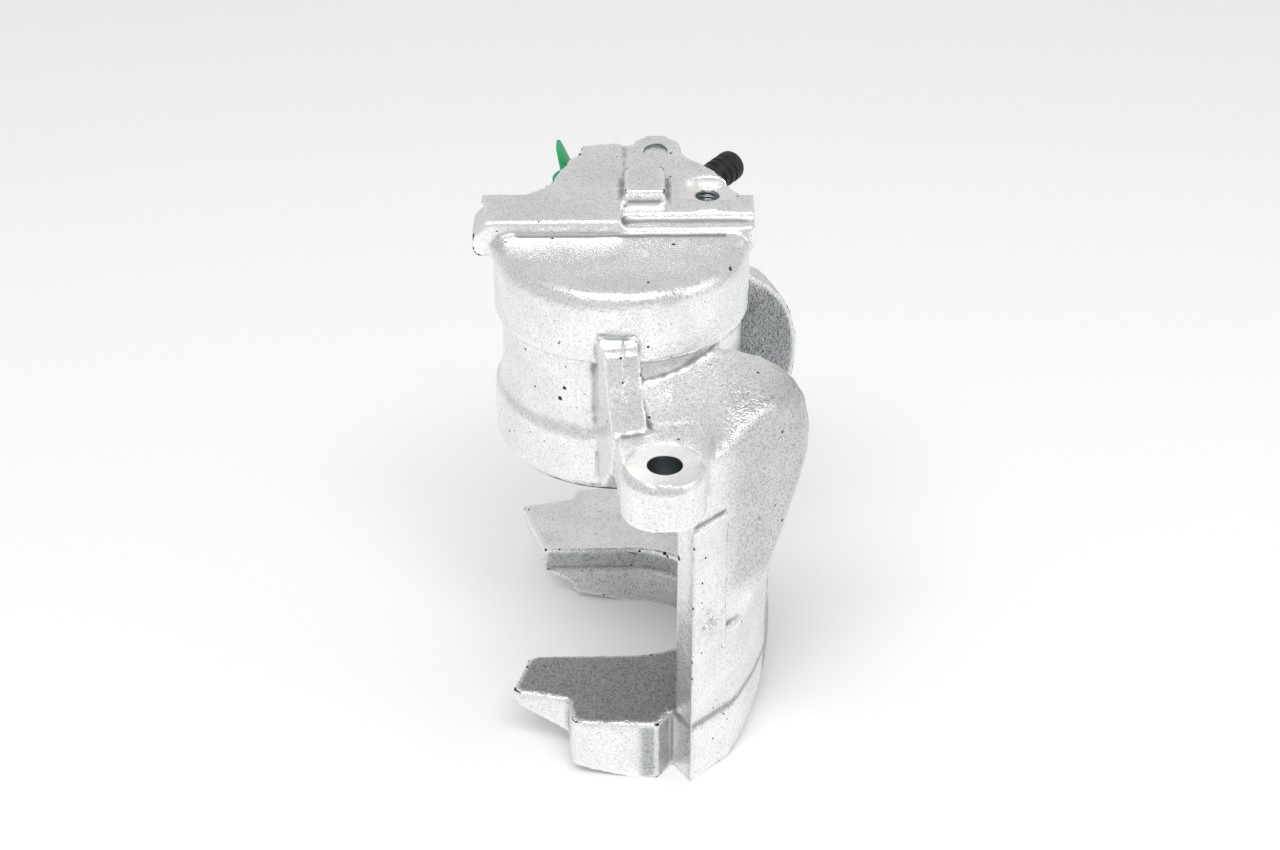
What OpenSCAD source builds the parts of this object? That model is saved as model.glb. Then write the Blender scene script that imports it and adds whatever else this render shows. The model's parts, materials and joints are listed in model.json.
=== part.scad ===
// Sliding brake caliper with one piston: an iron casting that holds the cylinder, a bridge of two legs
// and two fingers, with its piston, seals, bleed screw and transport plug. All sizes in millimetres.
// Z is the piston's axis, X points away from the wheel's centre and Y runs along the disc's edge.
// The origin lies on the piston's axis in the plane of the cylinder's rim.

/* [Cylinder] */
// Radius of the cylinder's upper band
barrel_r = 38.4; // [38:0.1:38.8]
// Radius of the thicker band beside the rim
rim_r = 39.2; // [38.8:0.1:39.6]
// Radius of the waist between the two bands
waist_r = 36.5; // [36:0.1:37.5]
// Height of the flat shoulder above the rim
shoulder_z = 66.5; // [65:0.5:67]
// Radius of the piston bore
bore_r = 28.5; // [28:0.1:29]
// Depth of the piston bore
bore_depth = 54; // [52:0.5:55]

/* [Piston] */
// Radial clearance between the piston and its bore
piston_clearance = 0.05; // [0.02:0.01:0.08]
// Length of the piston
piston_length = 51; // [48:0.5:52]
// How far the retracted piston stands out of the rim
piston_proud = 2; // [1.5:0.1:2.5]
// Radius of the piston's hollow
hollow_r = 22.5; // [21:0.1:23]

/* [Closed end] */
// Height of the sloping top above the rim, at its front edge
top_front_z = 71; // [70:0.5:72]
// Slope of the top, rising towards the ports
top_slope = 11.3; // [10:0.1:12]
// How far the left half stands above the right half along the casting's parting line
parting_step = 0.8; // [0.4:0.1:1]
// Radius of the tapped bracket hole, at the tips of its thread
bracket_hole_r = 3.4; // [3.3:0.05:3.5]
// Depth of the tapped bracket hole
bracket_hole_depth = 14; // [10:0.5:15]

/* [Fingers] */
// Height of the pad faces below the rim
pad_face_z = 67.5; // [66:0.5:68]
// Depth of the casting's resting face below the rim
base_z = 89; // [88:0.5:90]
// Radius of the round end of the gap between the fingers
throat_r = 28.8; // [28:0.1:29.5]
// Radius of the inner face of the bridge, which clears the disc
disc_clear_r = 150; // [148:1:152]
// Distance from the piston's axis to the inner face of the bridge
bridge_inner_x = 28; // [27:0.5:29]

/* [Bridge] */
// Radius of the bridge's outer face at the fingers
bridge_outer_r = 110; // [109:0.5:111]
// Distance from the piston's axis to the bridge's outer face at the fingers
bridge_outer_x = 48; // [47.5:0.1:48.5]
// Half the width of the window between the legs
window_half = 25; // [24:0.5:26]

/* [Guide bolt ears] */
// Distance of each guide bolt hole from the caliper's middle plane
ear_y = 70; // [69:0.5:71]
// Distance of the guide bolt holes from the piston's axis, outwards
ear_x = 11.4; // [11:0.1:12]
// Height of the ears' spot faces above the rim
ear_top_z = 29.8; // [29:0.1:31]
// Thickness of the ears
ear_thick = 15.6; // [14:0.1:16]
// Radius of the guide bolt holes
ear_hole_r = 5; // [4.9:0.05:5.1]

/* [Bleed screw] */
// Direction of the bleed screw around the piston's axis
bleed_turn = 50; // [48:1:52]
// Upward tilt of the bleed screw
bleed_tilt = 6; // [4:1:8]
// Radius of the rubber cap
cap_r = 4.9; // [4.8:0.1:5.2]

/* [Hose port] */
// Sideways tilt of the hose port
port_tilt = 15; // [13:1:16]
// Radius of the hose port, at the tips of its thread
port_r = 4.5; // [4.4:0.05:4.6]

/* [Hidden] */
$fn = 96;
far = 200;

piston_r = bore_r - piston_clearance;
waist_low_z = 27;
waist_high_z = 40.5;
band_slope = 3.2;
band_step = 0.9;
ledge_z = 17.2;

// Seal groove in the bore, and the counterbore that takes the boot
seal_low_z = 15;
seal_height = 3.4;
seal_groove_r = bore_r + 3.2;
boot_pocket_r = 33.8;
boot_pocket_depth = 6.5;
boot_groove_r = boot_pocket_r + 1.2;
boot_groove_low_z = 3.4;
boot_groove_height = 2.4;

// Groove near the piston's mouth that holds the boot's inner bead
piston_groove_low_z = 0.6;
piston_groove_height = 2.4;
piston_groove_r = piston_r - 1.8;

// Piston's closed end, its broken edges and the slanted corner of its hollow
piston_high_z = piston_length - piston_proud;
piston_floor = 7;
hollow_slant = 4;
mouth_edge = 0.8;
floor_edge = 1.5;

// Space left between pieces that only lie against each other
gap = 0.15;

// Closed end
bar_front_y = -1.5;
bar_depth = 14;
crown_stock = 30;
bar_chamfer = 4.24;
bar_low_chamfer = 1.7;
bar_left_x = -44.5;
bar_right_x = 40;
bar_low_z = 59.5;
crown_flank = [[-29, 12], [-21, 17.5], [-19.5, 22], [-15, 30.5]];
step_front_y = 3.5;
step_drop = 2.2;
lug_x = [1.1, 13.4];
lug_y = [9.6, 22.6];
lug_height = 4.7;
bracket_xy = [26.2, 12.9];
bracket_face_r = 8.8;
bracket_face_z = 72.9;
blank_boss_xy = [11, 34];
blank_boss_r = 8.8;
blank_spot_r = 3.7;
blank_spot_drop = 1.2;

// Bridge profile at the window's edge, as distances from the piston's axis and heights
wheel_x = bridge_outer_x - bridge_outer_r;
leg_profile = [[10, -pad_face_z - 1], [45.5, -pad_face_z - 1], [45.5, -42], [46.5, -34], [49, -24.6],
               [54.2, -4], [56.2, 6], [56.2, 17], [54.2, 25.5], [51, 31], [46.8, 35], [41, 38.4],
               [33, 41], [10, 42]];
crest_drop = 27;
crest_z = 42;
pad_top_z = 4;
pad_low_z = -38;
pad_width = 15;
pad_proud = 1.4;
brow_z = 29;
brow_tilt = 40;

// Fingers and outer wall, seen along the piston's axis; the far finger is the wider one
throat_xy = [2, -2.2];
near_finger = [[-14.8, -64.6], [-16.5, -62.8], [-17.4, -53.6], [-33.4, -49.6], [-34.8, -48],
               [-30.5, -33.4], [-26.5, -31]];
far_finger = [[-26.5, 26.6], [-34.9, 52.6], [-33.8, 54.4], [-17.4, 58.6], [-16.8, 62.8], [-15, 64.6]];
end_inner = [14.6, 59];
end_tip = [20, 68];
end_outer = [31, 57.6];
end_spread = [60, 28.7];
end_turn = atan2(end_tip[1] - end_outer[1], end_outer[0] - end_tip[0]);
finger_floor = [[-60, -50], [-34.8, -70.5], [-33, -73.2], [-17.8, -80.6], [-16.6, -85], [0, -base_z],
                [31, -base_z], [38, -85.5], [46, -77.5], [60, -50], [60, 0], [-60, 0]];
throat_ledge = 0.8;
throat_ledge_z = -76;
lintel_z = -56;
lintel_x = 32;

// Ears and their ribs
ear_r = 12.4;
ear_face_r = 10.9;
ear_face_cut = 0.5;
ear_fall = 3;
rib_half = 5.3;
rib_foot = [-0.6, -44];
rib_turn = 13;
rib_top_z = 52;

// Bleed screw, along its own axis from its seat outwards
bleed_seat_z = 66;
bleed_start = 25.3;
bleed_boss_r = 7.6;
bleed_boss_end = 14.5;
bleed_hole_r = 3.5;
bleed_shank_r = 3.45;
hex_r = 4.04;
hex_low = bleed_boss_end + 0.8;
hex_height = 4;
nipple_r = 2.8;
nipple_length = 9;
nipple_low = hex_low + hex_height;
cap_low = bleed_boss_end + 0.3;
cap_length = 16.1;
cap_room_r = hex_r + 0.3;

// Hose port, along its own axis from its face upwards
port_xy = [-15.5, 35];
port_face_z = 67;
port_boss_r = 7.4;
port_depth = 12;
washer_thick = 1;
plug_flange_r = 5.2;
port_spot_r = 5.8;
plug_flange = 1.6;
tab_height = 10.8;

// Places children with their Z axis along the bleed screw
module on_bleed_axis() {
    rotate([0, 0, bleed_turn])
        translate([bleed_start, 0, bleed_seat_z])
            rotate([0, 90 - bleed_tilt, 0])
                children();
}

// Places children with their Z axis along the hose port, Z = 0 on the port's face
module on_port_axis() {
    translate([port_xy[0], port_xy[1], port_face_z])
        rotate([0, -port_tilt, 0])
            children();
}

// Everything above the sloping top, raised by the given height
module above_top(rise = 0) {
    translate([0, bar_front_y, top_front_z + rise])
        rotate([top_slope, 0, 0])
            translate([-far / 2, -far / 2, 0])
                cube([far, far, far / 2]);
}

// Cylinder with its two bands and the waist between them
module barrel() {
    rotate_extrude($fn = 128)
        polygon([[0, 0], [rim_r - 1.5, 0], [rim_r, 2.5], [rim_r, ledge_z], [rim_r - 0.5, ledge_z + 1.4],
                 [rim_r - 1.7, ledge_z + 2.4], [waist_r, waist_low_z], [waist_r, waist_high_z],
                 [barrel_r - band_step, waist_high_z + band_slope - 0.4],
                 [barrel_r, waist_high_z + band_slope + 0.2], [barrel_r, shoulder_z - 5],
                 [barrel_r - 0.8, shoulder_z - 2.4], [barrel_r - 2.4, shoulder_z - 0.8],
                 [barrel_r - 5, shoulder_z], [0, shoulder_z]]);
}

// Outline of the closed end's raised part, seen along the piston's axis
module crown_outline() {
    intersection() {
        circle(r = barrel_r - 0.6, $fn = 128);
        polygon(concat([[-far, bar_front_y]], crown_flank,
                       [[-15, far], [far, far], [far, bar_front_y]]));
    }
}

// Slanted cut along the bar's left end, at the given height
module bar_end_chamfer(height, size) {
    width = size * sqrt(2);
    translate([bar_left_x, bar_front_y - 1, height]) rotate([0, 45, 0])
        translate([-width / 2, 0, -width / 2]) cube([width, crown_stock, width]);
}

// Raised part of the closed end: cross bar, sloping top with its parting step, and square lug
module crown() {
    difference() {
        union() {
            translate([0, 0, bar_low_z]) linear_extrude(crown_stock) crown_outline();
            translate([bar_left_x, bar_front_y, bar_low_z]) cube([-bar_left_x, bar_depth, crown_stock]);
            translate([0, bar_front_y, bar_low_z + 2]) cube([bar_right_x, bar_depth, crown_stock]);
        }
        above_top();
        // right half, lower than the left and stepped down along its front
        intersection() {
            above_top(-parting_step);
            cube([far, far, far]);
        }
        translate([0, bar_front_y - 1, top_front_z - step_drop])
            cube([far, step_front_y - bar_front_y + 1, crown_stock]);
        bar_end_chamfer(top_front_z, bar_chamfer);
        bar_end_chamfer(bar_low_z, bar_low_chamfer);
    }
    translate([0, bar_front_y, top_front_z - parting_step]) rotate([top_slope, 0, 0])
        translate([lug_x[0], lug_y[0], -2])
            cube([lug_x[1] - lug_x[0], lug_y[1] - lug_y[0], lug_height + 2]);
}

// Cast bosses of the closed end for the bleed screw, the hose port and the opposite hand's bleed screw
module bosses() {
    on_bleed_axis() cylinder(r1 = bleed_boss_r + 1, r2 = bleed_boss_r, h = bleed_boss_end);
    on_port_axis() translate([0, 0, -20]) cylinder(r1 = port_boss_r - 2, r2 = port_boss_r, h = 20);
    difference() {
        translate([blank_boss_xy[0], blank_boss_xy[1], bar_low_z - 6])
            cylinder(r1 = blank_boss_r - 3, r2 = blank_boss_r, h = 30);
        above_top(-0.4);
        translate([blank_boss_xy[0], blank_boss_xy[1], top_front_z - blank_spot_drop
                   + (blank_boss_xy[1] - bar_front_y) * tan(top_slope)])
            rotate([top_slope, 0, 0]) cylinder(r = blank_spot_r, h = 20);
    }
}

// Plan of one leg: it ends in two slanted facets below the ear
module leg_plan() {
    polygon([[10, -window_half], [10, -38], [end_inner[0], -end_inner[1]], [end_tip[0], -end_tip[1]],
             [end_outer[0], -end_outer[1]], [end_spread[0], -end_spread[1]],
             [end_spread[0], -window_half]]);
}

// Plan of the web between the rib and the leg, above the ear's underside
module web_plan() {
    polygon([[0, -window_half], [0, -44], [end_inner[0], -end_inner[1]], [27, -50], [27, -window_half]]);
}

// Near leg of the bridge, with its hump and its crest that falls away from the window
module leg() {
    difference() {
        intersection() {
            translate([wheel_x, 0, 0]) rotate_extrude($fn = 180)
                polygon([for (p = leg_profile) [norm([p[0] - wheel_x, window_half]), p[1]]]);
            union() {
                translate([0, 0, -base_z]) linear_extrude(base_z + crest_z + 1) leg_plan();
                translate([0, 0, ear_top_z - ear_thick]) linear_extrude(crest_z) web_plan();
            }
        }
        translate([0, -window_half, crest_z]) rotate([crest_drop, 0, 0])
            translate([-far / 2, -far, 0]) cube([far, far, far]);
        // set-back face above the raised pad, and the brow that rounds it into the crest
        translate([end_tip[0], -end_tip[1], 0]) rotate([0, 0, end_turn]) {
            translate([-far / 2, pad_proud - far, pad_top_z]) cube([far, far, far]);
            translate([pad_width, pad_proud - far, pad_low_z]) cube([far, far, far]);
            translate([0, pad_proud, brow_z]) rotate([brow_tilt, 0, 0])
                translate([-far / 2, -far, 0]) cube([far, far, far]);
        }
    }
}

// Outline of the gap between the fingers, open on the inner side
module throat_outline(radius) {
    translate(throat_xy) circle(r = radius);
    translate([throat_xy[0] - far, throat_xy[1] - radius]) square([far, 2 * radius]);
}

// Fingers and outer wall, flat on the pad side and tapered on the other
module finger_plate() {
    difference() {
        intersection() {
            translate([0, 0, -base_z]) linear_extrude(base_z - pad_face_z) difference() {
                intersection() {
                    polygon(concat(far_finger, [[10, 66.2], end_inner, end_tip, end_outer,
                            [end_spread[0], 40], [end_spread[0], -40], [end_outer[0], -end_outer[1]],
                            [end_tip[0], -end_tip[1]], [end_inner[0], -end_inner[1]], [10, -66.2]],
                            near_finger));
                    translate([wheel_x, 0]) circle(r = bridge_outer_r, $fn = 180);
                }
                throat_outline(throat_r - throat_ledge / 2);
            }
            rotate([90, 0, 0]) translate([0, 0, -far / 2]) linear_extrude(far) polygon(finger_floor);
        }
        // ledge around the throat, level with the middle of the fingers
        translate([0, 0, throat_ledge_z]) linear_extrude(far) throat_outline(throat_r + throat_ledge / 2);
    }
}

// Low wall that joins the two legs below the window
module lintel() {
    translate([0, 0, -pad_face_z - 2]) linear_extrude(lintel_z + pad_face_z + 2) intersection() {
        translate([wheel_x, 0]) circle(r = bridge_outer_r - 0.4, $fn = 180);
        translate([lintel_x, -window_half - 2]) square([far, 2 * window_half + 4]);
    }
}

// Near ear with the rib that ties it to the cylinder
module ear() {
    translate([ear_x - 0.4, -ear_y, ear_top_z - ear_thick]) {
        cylinder(r = ear_r, h = ear_thick - ear_fall);
        translate([0, 0, ear_thick - ear_fall])
            cylinder(r1 = ear_r, r2 = ear_face_r + 0.1, h = ear_fall);
    }
    translate([0, 0, ear_top_z - ear_thick]) linear_extrude(ear_thick)
        polygon([[-rib_half, -31], [ear_x - 1.4 - ear_face_r, -ear_y], [ear_x - 0.4 + ear_r, -ear_y + 2],
                 [27, -47], [27, -31]]);
    // rib, rising from the ear to the upper band, turned towards the ear's hole
    translate([rib_foot[0], rib_foot[1], 0]) rotate([0, 0, rib_turn])
        translate([-rib_half, -rib_foot[1], 0]) rotate([90, 0, 90]) linear_extrude(2 * rib_half)
            polygon([[-56, ear_top_z - 1], [-47.5, rib_top_z - 6], [-46, rib_top_z - 1.5],
                     [-44, rib_top_z], [-31, rib_top_z], [-31, 4], [-42, 4],
                     [-52, ear_top_z - ear_thick + 1]]);
}

// Machined spaces: bore with its grooves, ports, bolt holes and spot faces
module machining() {
    translate([0, 0, -1]) cylinder(r = bore_r, h = bore_depth + 1, $fn = 128);
    translate([0, 0, seal_low_z]) cylinder(r = seal_groove_r, h = seal_height, $fn = 128);
    translate([0, 0, -1]) cylinder(r = boot_pocket_r, h = boot_pocket_depth + 1, $fn = 128);
    translate([0, 0, boot_groove_low_z]) cylinder(r = boot_groove_r, h = boot_groove_height, $fn = 128);
    for (side = [-1, 1]) {
        translate([ear_x, side * ear_y, 0]) cylinder(r = ear_hole_r, h = ear_top_z + 1);
        translate([ear_x, side * ear_y, ear_top_z - ear_face_cut]) cylinder(r = ear_face_r, h = 5);
    }
    translate([bracket_xy[0], bracket_xy[1], bracket_face_z]) {
        cylinder(r = bracket_face_r, h = 20);
        translate([0, 0, -bracket_hole_depth]) cylinder(r = bracket_hole_r, h = bracket_hole_depth + 1);
    }
    on_bleed_axis() {
        translate([0, 0, bleed_boss_end]) cylinder(r = bleed_boss_r + 1, h = 30);
        cylinder(r = bleed_hole_r, h = bleed_boss_end + 1);
        translate([0, 0, -4]) cylinder(r1 = 1.2, r2 = bleed_hole_r, h = 4.01);
    }
    on_port_axis() {
        cylinder(r = port_spot_r, h = 30);
        translate([0, 0, -port_depth]) cylinder(r = port_r, h = port_depth + 1);
    }
}

module caliper_housing() {
    color("gainsboro") difference() {
        union() {
            barrel();
            crown();
            bosses();
            difference() {
                union() {
                    leg();
                    mirror([0, 1, 0]) leg();
                    lintel();
                }
                // room for the disc
                translate([bridge_inner_x - disc_clear_r, 0, -pad_face_z - 2])
                    cylinder(r = disc_clear_r, h = pad_face_z + 2, $fn = 180);
            }
            finger_plate();
            ear();
            mirror([0, 1, 0]) ear();
        }
        machining();
    }
}

module piston() {
    color("silver") rotate_extrude($fn = 128)
        polygon([[hollow_r, -piston_proud], [piston_r - mouth_edge, -piston_proud],
                 [piston_r, -piston_proud + mouth_edge],
                 [piston_r, piston_groove_low_z], [piston_groove_r, piston_groove_low_z],
                 [piston_groove_r, piston_groove_low_z + piston_groove_height],
                 [piston_r, piston_groove_low_z + piston_groove_height],
                 [piston_r, piston_high_z - floor_edge], [piston_r - floor_edge, piston_high_z],
                 [0, piston_high_z], [0, piston_high_z - piston_floor],
                 [hollow_r - hollow_slant, piston_high_z - piston_floor],
                 [hollow_r, piston_high_z - piston_floor - hollow_slant]]);
}

module piston_seal() {
    color("black") translate([0, 0, seal_low_z + gap]) difference() {
        cylinder(r = seal_groove_r - gap, h = seal_height - 2 * gap, $fn = 128);
        translate([0, 0, -1]) cylinder(r = bore_r, h = seal_height + 2, $fn = 128);
    }
}

// Rubber boot: outer bead in the counterbore, three folds, inner bead in the piston's groove
module dust_boot() {
    color("dimgray") rotate_extrude($fn = 128)
        polygon([[piston_groove_r + gap, piston_groove_low_z + gap],
                 [29.4, piston_groove_low_z + gap], [30.1, 3.2], [30.8, 0.5], [31.9, 0.5], [32.3, 2.6],
                 [32.8, 0], [33.6, 0], [33.6, -0.1], [36.8, -0.1], [36.8, -0.8], [32.2, -0.8],
                 [31.6, -0.3], [30.2, -0.3], [29.4, -0.9], [29, -0.9], [29, -0.3],
                 [28.9, piston_groove_low_z - 0.3], [28.9, piston_groove_low_z]]);
}

module boot_retaining_ring() {
    color("goldenrod") translate([0, 0, 4.6]) rotate_extrude($fn = 128)
        translate([33.6, 0]) circle(r = 0.9, $fn = 24);
}

module bleed_screw() {
    color("darkkhaki") on_bleed_axis() difference() {
        union() {
            translate([0, 0, 0.2]) cylinder(r1 = 1.2, r2 = bleed_shank_r, h = 2.6);
            translate([0, 0, 2.8]) cylinder(r = bleed_shank_r, h = hex_low - 2.8);
            translate([0, 0, hex_low]) cylinder(r = hex_r, h = hex_height, $fn = 6);
            translate([0, 0, nipple_low]) cylinder(r = nipple_r - 0.5, h = nipple_length - 3);
            translate([0, 0, nipple_low + nipple_length - 3])
                cylinder(r1 = nipple_r, r2 = nipple_r - 0.8, h = 3);
        }
        translate([0, 0, 5]) cylinder(r = 1, h = far);
    }
}

// Rubber cap with two grooves; its skirt reaches down over the screw's hexagon
module bleed_cap() {
    color("black") on_bleed_axis() difference() {
        translate([0, 0, cap_low]) rotate_extrude()
            polygon([[0, 0], [cap_r, 0], [cap_r, 7.9], [cap_r - 0.5, 8.2], [cap_r, 8.5], [cap_r, 10.9],
                     [cap_r - 0.5, 11.2], [cap_r, 11.5], [cap_r, cap_length - 1.2],
                     [cap_r - 1.2, cap_length], [0, cap_length]]);
        translate([0, 0, cap_low - 1]) cylinder(r = cap_room_r, h = nipple_low + 0.3 - cap_low + 1);
        translate([0, 0, nipple_low]) cylinder(r = nipple_r + gap, h = nipple_length + 0.3);
    }
}

// Green transport plug of the hose port, with a flat tab to pull it by
module port_plug() {
    color("seagreen") on_port_axis() {
        translate([0, 0, 1 - port_depth]) cylinder(r1 = port_r - 0.6, r2 = port_r - 0.05, h = 2);
        translate([0, 0, 3 - port_depth])
            cylinder(r = port_r - 0.05, h = port_depth - 3 + washer_thick + gap);
        translate([0, 0, washer_thick + gap]) cylinder(r = plug_flange_r, h = plug_flange);
        translate([0, 0, washer_thick + plug_flange]) rotate([90, 0, 0]) translate([0, 0, -5])
            linear_extrude(10) polygon([[-1.7, 0], [1.7, 0], [0.8, tab_height - 0.6], [0.2, tab_height],
                                        [-0.8, tab_height]]);
    }
}

module port_plug_washer() {
    color("dimgray") on_port_axis() translate([0, 0, gap / 2]) difference() {
        cylinder(r = plug_flange_r + 0.3, h = washer_thick);
        translate([0, 0, -1]) cylinder(r = port_r + gap, h = washer_thick + 2);
    }
}

caliper_housing();
piston();
piston_seal();
dust_boot();
boot_retaining_ring();
bleed_screw();
bleed_cap();
port_plug();
port_plug_washer();
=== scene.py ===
"""Finish of a sliding brake caliper: cast skin, piston, seals, bleed screw and plug, in a pale studio."""
import json
import math

import bmesh
import bpy
import numpy as np
from bpy.props import FloatProperty, FloatVectorProperty, IntProperty, PointerProperty
from mathutils import Matrix, Vector, noise


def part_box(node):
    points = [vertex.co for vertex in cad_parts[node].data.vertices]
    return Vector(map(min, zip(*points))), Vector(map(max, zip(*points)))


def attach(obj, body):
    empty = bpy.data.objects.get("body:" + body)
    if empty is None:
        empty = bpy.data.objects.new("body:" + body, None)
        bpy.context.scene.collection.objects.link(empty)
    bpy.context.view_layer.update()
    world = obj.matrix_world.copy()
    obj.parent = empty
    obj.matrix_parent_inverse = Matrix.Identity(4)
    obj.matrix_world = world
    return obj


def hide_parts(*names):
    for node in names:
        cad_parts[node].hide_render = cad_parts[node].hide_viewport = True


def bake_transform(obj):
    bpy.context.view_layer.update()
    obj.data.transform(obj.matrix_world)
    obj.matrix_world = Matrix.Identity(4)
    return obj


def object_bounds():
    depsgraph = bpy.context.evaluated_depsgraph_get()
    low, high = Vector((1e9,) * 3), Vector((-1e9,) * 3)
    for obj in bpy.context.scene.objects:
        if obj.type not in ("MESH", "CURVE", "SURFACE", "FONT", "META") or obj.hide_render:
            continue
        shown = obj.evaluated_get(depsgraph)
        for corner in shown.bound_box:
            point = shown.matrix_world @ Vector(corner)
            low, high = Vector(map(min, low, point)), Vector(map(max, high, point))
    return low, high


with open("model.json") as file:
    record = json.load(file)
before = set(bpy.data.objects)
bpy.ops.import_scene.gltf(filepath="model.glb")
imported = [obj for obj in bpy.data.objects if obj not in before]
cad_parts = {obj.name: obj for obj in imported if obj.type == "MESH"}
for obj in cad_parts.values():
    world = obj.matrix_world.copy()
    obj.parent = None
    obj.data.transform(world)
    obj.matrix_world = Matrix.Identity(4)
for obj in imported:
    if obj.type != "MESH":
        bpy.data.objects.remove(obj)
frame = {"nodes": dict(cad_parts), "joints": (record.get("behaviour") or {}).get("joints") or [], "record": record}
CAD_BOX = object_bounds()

bl_info = {
    "name": "Brake Caliper Finish",
    "version": (1, 0, 0),
    "blender": (4, 5, 0),
    "location": "3D View > Sidebar > Caliper",
    "description": "Builds the cast skin, the seals and the fittings of a sliding brake caliper",
    "category": "Object",
}

MM = 0.001
JOINTS = {joint["name"]: joint for joint in frame["joints"]}
MOUNTS = {mount["name"]: mount for mount in frame["record"]["mounts"]}


def mount_point(name):
    """Where a mount of the record lies, in millimetres."""
    return Vector(MOUNTS[name]["pos_m"]) / MM


def aim(point, axis):
    """Matrix in millimetres that stands a piece on a point, with its Z axis along the given one."""
    turn = math.atan2(axis[1], axis[0]) if abs(axis[1]) > 1e-6 else 0.0
    lean = math.atan2(axis[0] * math.cos(turn) + axis[1] * math.sin(turn), axis[2])
    return Matrix.Translation(point) @ Matrix.Rotation(turn, 4, "Z") @ Matrix.Rotation(lean, 4, "Y")


EAR = mount_point("guide_bolt_hole_far")
BRACKET = mount_point("bracket_hole")
BLEED = aim(Vector(JOINTS["bleed_screw_turn"]["pos_m"]) / MM, JOINTS["bleed_screw_turn"]["axis"])
PORT_FACE = Vector((-15.5, 35, 67))
PORT = aim(PORT_FACE, JOINTS["port_plug_pull"]["axis"])
UPRIGHT = Matrix.Identity(4)

# Sizes that the pieces share, in millimetres
BORE_R = 28.5
BORE_DEPTH = 54
PISTON_R = 28.45
POCKET_R = 33.8
POCKET_DEPTH = 6.5
BOSS_END = 14.5
SCREW_HOLE_R = 3.5
HEX_LOW = 15.3
HEX_HEIGHT = 4
NIPPLE_LOW = HEX_LOW + HEX_HEIGHT
CAP_LOW = 14.8
TOP_SLOPE = math.radians(11.3)
BLANK_FACE = Vector((11, 34, 76.9))
BLANK = aim(BLANK_FACE, (0, -math.sin(TOP_SLOPE), math.cos(TOP_SLOPE)))
BLANK_R = 3.7
FINGER_FACE_Z = -67.5
THROAT_CENTRE = (2, -2.2)
THROAT_R = 30


# ---------------------------------------------------------------- mesh tools

def new_piece(name, mesh):
    """An object of that mesh in the scene."""
    piece = bpy.data.objects.new(name, mesh)
    bpy.context.scene.collection.objects.link(piece)
    return piece


def mesh_from(name, points, faces, place=UPRIGHT):
    """A mesh from points in millimetres, put in place and turned to metres."""
    mesh = bpy.data.meshes.new(name)
    mesh.from_pydata([tuple((place @ Vector(p)) * MM) for p in points], [], faces)
    shape = bmesh.new()
    shape.from_mesh(mesh)
    bmesh.ops.remove_doubles(shape, verts=shape.verts, dist=1e-7)
    bmesh.ops.recalc_face_normals(shape, faces=shape.faces)
    shape.to_mesh(mesh)
    shape.free()
    return mesh


def rounded(corners, steps=4):
    """An outline whose corners (u, v, radius) are rounded off; a corner without a radius stays sharp."""
    outline = []
    count = len(corners)
    for i, corner in enumerate(corners):
        here = Vector(corner[:2])
        if len(corner) < 3:
            outline.append(tuple(here))
            continue
        before = Vector(corners[i - 1][:2]) - here
        after = Vector(corners[(i + 1) % count][:2]) - here
        start = here + before.normalized() * min(corner[2], before.length * 0.48)
        end = here + after.normalized() * min(corner[2], after.length * 0.48)
        for k in range(steps + 1):
            t = k / steps
            outline.append(tuple(start * (1 - t) ** 2 + here * 2 * t * (1 - t) + end * t ** 2))
    return outline


def lathe(name, outline, place=UPRIGHT, segments=96):
    """A turned solid: a closed outline of (radius, height) spun about the Z axis."""
    points = []
    for i in range(segments):
        angle = math.tau * i / segments
        points += [(r * math.cos(angle), r * math.sin(angle), z) for r, z in outline]
    n = len(outline)
    faces = []
    for i in range(segments):
        a, b = i * n, (i + 1) % segments * n
        faces += [(a + k, b + k, b + (k + 1) % n, a + (k + 1) % n) for k in range(n)]
    return new_piece(name, mesh_from(name, points, faces, place))


def drum(name, radius, low, high, place=UPRIGHT, chamfer=0.0, segments=72):
    """A cutter's drum, which may flare out at its upper end to break an edge."""
    outline = [(0, low), (radius, low), (radius, high - chamfer), (radius + chamfer, high), (0, high)]
    return lathe(name, outline, place, segments)


def threaded(name, root, tip, pitch, low, high, place=UPRIGHT, segments=40, rows=8):
    """A rod with a real helical thread that fades out at both ends."""
    levels = int(round((high - low) / pitch * rows))
    points = [(0, 0, low)]
    for j in range(levels + 1):
        height = low + (high - low) * j / levels
        fade = min(1.0, (height - low) / pitch, (high - height) / pitch)
        for i in range(segments):
            share = (height / pitch - i / segments) % 1.0
            rise = min(1.0, max(0.0, 1.25 * (1 - abs(2 * share - 1)) - 0.12))
            radius = root + (tip - root) * rise * fade
            angle = math.tau * i / segments
            points.append((radius * math.cos(angle), radius * math.sin(angle), height))
    points.append((0, 0, high))
    faces = []
    for i in range(segments):
        k = (i + 1) % segments
        faces.append((0, 1 + k, 1 + i))
        for j in range(levels):
            a = 1 + j * segments
            faces.append((a + i, a + k, a + segments + k, a + segments + i))
        last = 1 + levels * segments
        faces.append((last + i, last + k, len(points) - 1))
    return new_piece(name, mesh_from(name, points, faces, place))


def settle(piece):
    """Makes what the modifiers give the piece's own mesh."""
    graph = bpy.context.evaluated_depsgraph_get()
    mesh = bpy.data.meshes.new_from_object(
        piece.evaluated_get(graph), preserve_all_data_layers=True, depsgraph=graph
    )
    piece.modifiers.clear()
    old = piece.data
    piece.data = mesh
    bpy.data.meshes.remove(old)


def combine(piece, tool, operation="DIFFERENCE"):
    """Cuts the tool's solid from the piece, or adds it, and removes the tool."""
    change = piece.modifiers.new("combine", "BOOLEAN")
    change.operation = operation
    change.solver = "MANIFOLD"
    change.object = tool
    settle(piece)
    bpy.data.objects.remove(tool)
    if not piece.data.polygons:
        raise RuntimeError(f"{piece.name} lost its mesh in a {operation.lower()}")


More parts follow.
